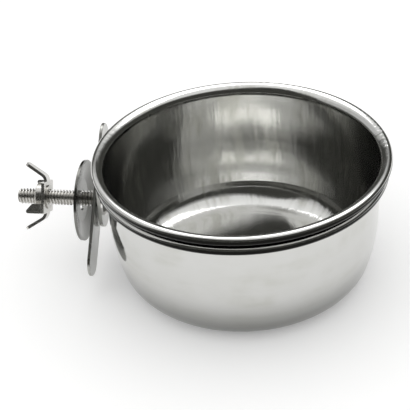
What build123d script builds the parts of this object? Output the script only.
"""Seed cup in a clamp-on ring holder.

A drawn steel cup hangs by its rolled rim in a wire ring. A strap on the ring carries a bolt, and cage bars are
gripped between a long plate and a dished washer by a wing nut.

Frame, in millimetres: the origin is the centre of the cup's base, on the surface that it stands on. Z is up and
the clamp points along -X. Distances "out" run from the cup's axis along the bolt.
"""
from build123d import *
import math
import os

# Cup
RIM_DIAMETER = 116.0
CUP_HEIGHT = 54.0
CUP_SHEET = 0.8
BEAD_DIAMETER = 3.4
BEAD_MOUTH = 100.0          # degrees of the bead's circle that the rolled edge leaves open
RIM_OVERHANG = 4.57         # from the wall to the outside of the bead
FLARE_DROP = 4.0            # from the rim's top to where the wall starts to flare
WALL_DRAFT = 1.0            # degrees
STRAIGHT_DROP = 26.0        # from the rim's top to the end of the straight wall
BELLY_RADIUS = 69.0
HEEL_RADIUS = 13.0

# Wire ring
WIRE_DIAMETER = 3.2
RING_GAP = 1.6              # from the underside of the bead to the top of the wire
RING_CLEARANCE = 0.3        # from the cup's wall to the wire

# Strap that carries the bolt
STRAP_WIDTH = 13.0
STRAP_SHEET = 1.5
STRAP_SEAT = 0.6            # depth of the groove that sits on the wire
STRAP_HEAD = 1.2            # above the middle of the wire
STRAP_TAIL = 12.2           # below the bolt's axis
STRAP_EDGE = 0.3            # rounding of the punched edge

# Bolt
BOLT_DROP = 23.9            # from the rim's top to the bolt's axis
BOLT_DIAMETER = 6.35
BOLT_LENGTH = 35.2          # under the head
THREAD_PITCH = 1.27
THREAD_DEPTH = 0.78
HEAD_DIAMETER = 13.0
HEAD_HEIGHT = 2.8
HEAD_EDGE = 0.8             # straight edge of the head, below its dome

# Long plate
PLATE_LENGTH = 63.0
PLATE_WIDTH = 12.0
PLATE_SHEET = 1.2
PLATE_TURN = 47.0           # degrees from upright, with the top end to the back
PLATE_CLEARANCE = 0.3       # from the rim, which the plate passes when it turns
PLATE_EDGE = 0.25           # rounding of the punched edge

# Dished washer
WASHER_DIAMETER = 32.6
WASHER_FLAT = 17.6
WASHER_ROOM = 1.0           # radial, from the bolt to the hole; the washer hangs down by it
WASHER_LIP = 0.9            # flat border of the dish
WASHER_DEPTH = 1.6
WASHER_SHEET = 1.0
WASHER_BEND = 0.8           # inside radius of the bends
BAR_GAP = 4.3               # room for cage bars between plate and washer

# Wing nut: a threaded bush, with pressed wings held on it by a staked edge
NUT_GAP = 12.5              # from the washer to the nut
NUT_TURN = 27.0             # by which the upper wing leans back
BUSH_DIAMETER = 11.6
BUSH_RISE = 3.0             # collar beyond the wings' base
BUSH_CHAMFER = 0.5
NECK_DIAMETER = 8.2
STAKE_DIAMETER = 9.6
STAKE_HEIGHT = 0.5
WING_SHEET = 1.2
WING_ROOM = 0.6             # from the collar to where the wings start to bend
BASE_CORNER = 0.5
WING_SPAN = 27.6
WING_REACH = 8.6            # from the inner face of the base to the wing tips
WING_WIDTH = 4.6
WING_TIP = 4.0              # width at the tip
WING_TIP_CORNER = 1.6
WING_BEND = 2.4             # inside radius of the bend
FIN_WIDTH = 3.8
FIN_OFFSET = 4.0            # of the fin's middle from the middle of its side
FIN_BEND = 1.0              # inside radius of the bend
FIN_REACH = 7.8             # the fin's long side, from the inner face of the base
FIN_CUT = 3.4               # by which its other side is shorter
FIN_CORNER = 0.8

# Fits
LOOSE_FIT = 0.3             # radial, the plate on the bolt
RUNNING_FIT = 0.05          # radial, thread, strap hole, turning wings and hanging washer
END_FIT = 0.06              # along the bolt, on each side of the wings' base

# Radii and heights that several pieces share
RIM_RADIUS = RIM_DIAMETER / 2
BEAD_RADIUS = BEAD_DIAMETER / 2
WALL_RADIUS = RIM_RADIUS - RIM_OVERHANG
WALL_TOP = CUP_HEIGHT - FLARE_DROP
WIRE_RADIUS = WIRE_DIAMETER / 2
RING_Z = CUP_HEIGHT - BEAD_DIAMETER - RING_GAP - WIRE_RADIUS
BOLT_Z = CUP_HEIGHT - BOLT_DROP
BOLT_RADIUS = BOLT_DIAMETER / 2
DRAFT = math.radians(WALL_DRAFT)

# The rolled edge bends round the middle of the bead, and the flare is one arc from the wall to that bend
BEAD_CENTRE = (RIM_RADIUS - BEAD_RADIUS, CUP_HEIGHT - BEAD_RADIUS)
CURL_RADIUS = BEAD_RADIUS - CUP_SHEET
BEAD_TO_WALL = (WALL_RADIUS - BEAD_CENTRE[0], WALL_TOP - BEAD_CENTRE[1])
BEAD_INSET = BEAD_TO_WALL[0] * math.cos(DRAFT) - BEAD_TO_WALL[1] * math.sin(DRAFT)
FLARE_RADIUS = (math.hypot(*BEAD_TO_WALL) ** 2 - CURL_RADIUS**2) / (-2 * (CURL_RADIUS + BEAD_INSET))
FLARE_CENTRE = (
    WALL_RADIUS + FLARE_RADIUS * math.cos(DRAFT),
    WALL_TOP - FLARE_RADIUS * math.sin(DRAFT),
)

# Stations out along the bolt
WALL_BY_RING = WALL_RADIUS + (RING_Z - WALL_TOP) * math.tan(DRAFT)
RING_RADIUS = WALL_BY_RING + RING_CLEARANCE + WIRE_RADIUS
STRAP_OUT = RING_RADIUS + WIRE_RADIUS - STRAP_SEAT
STRAP_END = STRAP_OUT + STRAP_SHEET
PLATE_OUT = max(RIM_RADIUS, STRAP_END) + PLATE_CLEARANCE
WASHER_OUT = PLATE_OUT + PLATE_SHEET + BAR_GAP
WASHER_END = WASHER_OUT + WASHER_DEPTH + WASHER_SHEET
NUT_OUT = WASHER_END + NUT_GAP
NECK_OUT = NUT_OUT + STAKE_HEIGHT
COLLAR_OUT = NECK_OUT + WING_SHEET + 2 * END_FIT
BOLT_END = STRAP_OUT + BOLT_LENGTH

# The clamp's pieces are drawn with X up, Y to the back and Z out along the bolt
CLAMP = Location((0, 0, BOLT_Z), (0, -90, 0))


def polar(centre, radius, degrees):
    """Point on a circle of a section."""
    angle = math.radians(degrees)
    return (centre[0] + radius * math.cos(angle), centre[1] + radius * math.sin(angle))


def arc(centre, radius, start, end):
    """Arc of a section, from one angle to another."""
    middle = (start + end) / 2
    return ThreePointArc(polar(centre, radius, start), polar(centre, radius, middle), polar(centre, radius, end))


def turned(edges):
    """Solid made by turning a closed section, drawn as radius and height, about the Z axis."""
    return revolve(Plane.XZ * make_face(edges), Axis.Z)


def cup_profile(depth):
    """One face of the cup's sheet, from the middle of the base to the lip: depth 0 is the outer face."""
    wall_low = CUP_HEIGHT - STRAIGHT_DROP
    wall_low_radius = WALL_RADIUS + (wall_low - WALL_TOP) * math.tan(DRAFT)
    belly = (
        wall_low_radius - BELLY_RADIUS * math.cos(DRAFT),
        wall_low + BELLY_RADIUS * math.sin(DRAFT),
    )
    fall = HEEL_RADIUS - belly[1]
    heel = (belly[0] + math.sqrt((BELLY_RADIUS - HEEL_RADIUS) ** 2 - fall**2), HEEL_RADIUS)
    join = math.degrees(math.atan2(heel[1] - belly[1], heel[0] - belly[0]))
    touch = math.degrees(math.atan2(BEAD_CENTRE[1] - FLARE_CENTRE[1], BEAD_CENTRE[0] - FLARE_CENTRE[0]))
    lip = touch - 360 + BEAD_MOUTH

    heel_arc = arc(heel, HEEL_RADIUS - depth, -90, join)
    belly_arc = arc(belly, BELLY_RADIUS - depth, join, -WALL_DRAFT)
    flare_arc = arc(FLARE_CENTRE, FLARE_RADIUS + depth, 180 - WALL_DRAFT, touch)
    curl_arc = arc(BEAD_CENTRE, CURL_RADIUS + depth, touch, lip)
    base = Line((0, depth), heel_arc @ 0)
    wall = Line(belly_arc @ 1, flare_arc @ 0)
    return [base, heel_arc, belly_arc, wall, flare_arc, curl_arc]


def cup():
    """Drawn cup: flat base, round heel, curved belly, straight wall, flare and rolled bead."""
    outer = cup_profile(0)
    inner = cup_profile(CUP_SHEET)
    middle = Line(outer[0] @ 0, inner[0] @ 0)
    lip = Line(outer[-1] @ 1, inner[-1] @ 1)
    return turned(outer + inner + [middle, lip])


def holder_ring():
    """Closed ring of round wire."""
    return Location((0, 0, RING_Z)) * Torus(RING_RADIUS, WIRE_RADIUS)


def bolt_bracket():
    """Flat strap with a round lower end, grooved to sit on the outside of the wire."""
    top = RING_Z - BOLT_Z + STRAP_HEAD
    end_radius = STRAP_WIDTH / 2
    end_middle = end_radius - STRAP_TAIL
    straight = Rectangle(top - end_middle, STRAP_WIDTH, align=(Align.MIN, Align.CENTER))
    outline = Location((end_middle, 0)) * (straight + Circle(end_radius))
    strap = extrude(outline, STRAP_SHEET)
    outer_edges = strap.faces().sort_by(Axis.Z)[-1].edges()
    strap = fillet(outer_edges, min(STRAP_EDGE, STRAP_SHEET / 3))
    strap -= Cylinder(BOLT_RADIUS + RUNNING_FIT, 3 * STRAP_SHEET)
    return CLAMP * Location((0, 0, STRAP_OUT)) * strap - holder_ring()


def thread_profile():
    """Edge of the threaded stretch, from the strap to the chamfered end, with grooves at the pitch."""
    root = BOLT_RADIUS - THREAD_DEPTH
    crest = THREAD_PITCH / 8
    valley = THREAD_PITCH / 4
    flank = (THREAD_PITCH - crest - valley) / 2
    taper = BOLT_END - THREAD_DEPTH
    points = [(BOLT_RADIUS, STRAP_END)]
    for turn in range(math.floor((taper - STRAP_END) / THREAD_PITCH)):
        start = STRAP_END + turn * THREAD_PITCH
        points.append((BOLT_RADIUS, start + crest))
        points.append((root, start + crest + flank))
        points.append((root, start + crest + flank + valley))
        points.append((BOLT_RADIUS, start + THREAD_PITCH))
    points.append((BOLT_RADIUS, taper))
    points.append((root, BOLT_END))
    return points


def clamp_bolt():
    """Bolt with a low domed head, plain in the strap's hole and threaded beyond it."""
    head_radius = HEAD_DIAMETER / 2
    dome = HEAD_HEIGHT - HEAD_EDGE
    dome_radius = (head_radius**2 + dome**2) / (2 * dome)
    head_top = STRAP_OUT - HEAD_HEIGHT
    spread = math.degrees(math.asin(head_radius / dome_radius))
    dome_arc = arc((0, head_top + dome_radius), dome_radius, -90, spread - 90)
    shank = [dome_arc @ 1, (head_radius, STRAP_OUT), (BOLT_RADIUS, STRAP_OUT)]
    edge = Polyline(shank + thread_profile() + [(0, BOLT_END), (0, head_top)])
    return CLAMP * turned([dome_arc, edge])


def back_plate():
    """Long flat plate with round ends and a loose hole in its middle."""
    plate = extrude(SlotOverall(PLATE_LENGTH, PLATE_WIDTH), PLATE_SHEET)
    rims = plate.edges().group_by(Axis.Z)
    plate = fillet(rims[0] + rims[-1], min(PLATE_EDGE, PLATE_SHEET / 3))
    plate -= Cylinder(BOLT_RADIUS + LOOSE_FIT, 3 * PLATE_SHEET)
    return CLAMP * Location((0, 0, PLATE_OUT), (0, 0, PLATE_TURN)) * plate


def dished_washer():
    """Pressed round dish, hollow towards the cup, with a flat middle and a narrow flat border."""
    radius = WASHER_DIAMETER / 2
    lip = radius - WASHER_LIP
    flat = WASHER_FLAT / 2
    hole = BOLT_RADIUS + WASHER_ROOM
    sag = WASHER_ROOM - RUNNING_FIT
    slope = math.atan2(WASHER_DEPTH, lip - flat)
    shift = WASHER_SHEET * math.tan(slope / 2)
    middle = WASHER_OUT + WASHER_DEPTH
    wide_bend = WASHER_BEND + WASHER_SHEET
    hollow = FilletPolyline(
        (hole, middle),
        (flat - shift, middle),
        (lip - shift, WASHER_OUT),
        (radius, WASHER_OUT),
        radius=[WASHER_BEND, wide_bend],
    )
    back = FilletPolyline(
        (hole, WASHER_END),
        (flat, WASHER_END),
        (lip, WASHER_OUT + WASHER_SHEET),
        (radius, WASHER_OUT + WASHER_SHEET),
        radius=[wide_bend, WASHER_BEND],
    )
    hole_edge = Line(hollow @ 0, back @ 0)
    lip_edge = Line(hollow @ 1, back @ 1)
    dish = turned(hollow.edges() + back.edges() + [hole_edge, lip_edge])
    return CLAMP * Location((-sag, 0, 0)) * dish


def nut_bush():
    """Round threaded bush: collar, neck for the wings and staked edge."""
    bore = BOLT_RADIUS + RUNNING_FIT
    collar = BUSH_DIAMETER / 2
    neck = NECK_DIAMETER / 2
    stake = STAKE_DIAMETER / 2
    end = COLLAR_OUT + BUSH_RISE
    section = Polyline(
        (bore, NUT_OUT),
        (stake, NUT_OUT),
        (stake, NECK_OUT),
        (neck, NECK_OUT),
        (neck, COLLAR_OUT),
        (collar, COLLAR_OUT),
        (collar, end - BUSH_CHAMFER),
        (collar - BUSH_CHAMFER, end),
        (bore, end),
        close=True,
    )
    return CLAMP * turned(section.edges())


def bent_strip(flat, bend, tip):
    """Section of a strip that leaves the base at flat, bends out along the bolt and ends at tip."""
    centre = (flat, WING_SHEET + bend)
    outer = bend + WING_SHEET
    across = (tip[0] - centre[0], tip[1] - centre[1])
    turn = math.degrees(math.atan2(across[1], across[0]) - math.acos(outer / math.hypot(*across)))
    outer_arc = arc(centre, outer, -90, turn)
    inner_arc = arc(centre, bend, -90, turn)
    inner_tip = polar(tip, -WING_SHEET, turn)
    edge = Polyline(outer_arc @ 1, tip, inner_tip, inner_arc @ 1)
    foot = Line(outer_arc @ 0, inner_arc @ 0)
    return make_face([outer_arc, edge, inner_arc, foot]), turn


def wing(flat):
    """One long wing, drawn upright: it narrows to a round-cornered tip."""
    tip = (WING_SPAN / 2, WING_REACH)
    section, turn = bent_strip(flat, WING_BEND, tip)
    strip = extrude(Plane.XZ * section, WING_WIDTH / 2, both=True)
    lean = math.radians(turn)
    face = Plane(
        origin=(tip[0], 0, tip[1]),
        x_dir=(-math.sin(lean), 0, math.cos(lean)),
        z_dir=(math.cos(lean), 0, math.sin(lean)),
    )
    outline = make_face(
        Polyline(
            (-WING_SPAN, -WING_WIDTH / 2),
            (-WING_REACH, -WING_WIDTH / 2),
            (0, -WING_TIP / 2),
            (0, WING_TIP / 2),
            (-WING_REACH, WING_WIDTH / 2),
            (-WING_SPAN, WING_WIDTH / 2),
            close=True,
        )
    )
    tip_corners = outline.vertices().group_by(Axis.X)[-1]
    outline = fillet(tip_corners, min(WING_TIP_CORNER, 0.45 * WING_TIP))
    return strip & extrude(face * outline, WING_SPAN, both=True)


def fin(flat):
    """One short fin, near the end of the back side: bent square, and longer on its outer side."""
    tip = (flat + FIN_BEND + WING_SHEET, FIN_REACH)
    section, _ = bent_strip(flat, FIN_BEND, tip)
    strip = extrude(Plane.YZ * section, FIN_WIDTH / 2, both=True)
    side = FIN_WIDTH / 2
    outline = make_face(
        Polyline(
            (-side, -WING_SHEET),
            (side, -WING_SHEET),
            (side, FIN_REACH),
            (-side, FIN_REACH - FIN_CUT),
            close=True,
        )
    )
    tip_corners = outline.vertices().sort_by(Axis.Y)[-2:]
    outline = fillet(tip_corners, min(FIN_CORNER, 0.4 * FIN_WIDTH))
    return Location((FIN_OFFSET, 0, 0)) * (strip & extrude(Plane.XZ * outline, 2 * tip[0], both=True))


def nut_wings():
    """Pressed sheet of the wing nut: a base with a round hole, two long wings and two short fins."""
    flat = BUSH_DIAMETER / 2 + WING_ROOM
    base = extrude(RectangleRounded(2 * flat, 2 * flat, min(BASE_CORNER, 0.4 * flat)), WING_SHEET)
    sheet = base
    for half_turn in (0, 180):
        sheet += Rotation(0, 0, half_turn) * wing(flat)
        sheet += Rotation(0, 0, half_turn) * fin(flat)
    sheet -= Cylinder(NECK_DIAMETER / 2 + RUNNING_FIT, 3 * WING_SHEET)
    return CLAMP * Location((0, 0, NECK_OUT + END_FIT), (0, 0, NUT_TURN)) * sheet


PIECES = [cup, holder_ring, bolt_bracket, clamp_bolt, back_plate, dished_washer, nut_bush, nut_wings]

os.makedirs("parts", exist_ok=True)
for piece in PIECES:
    export_step(piece(), f"parts/{piece.__name__}.step")
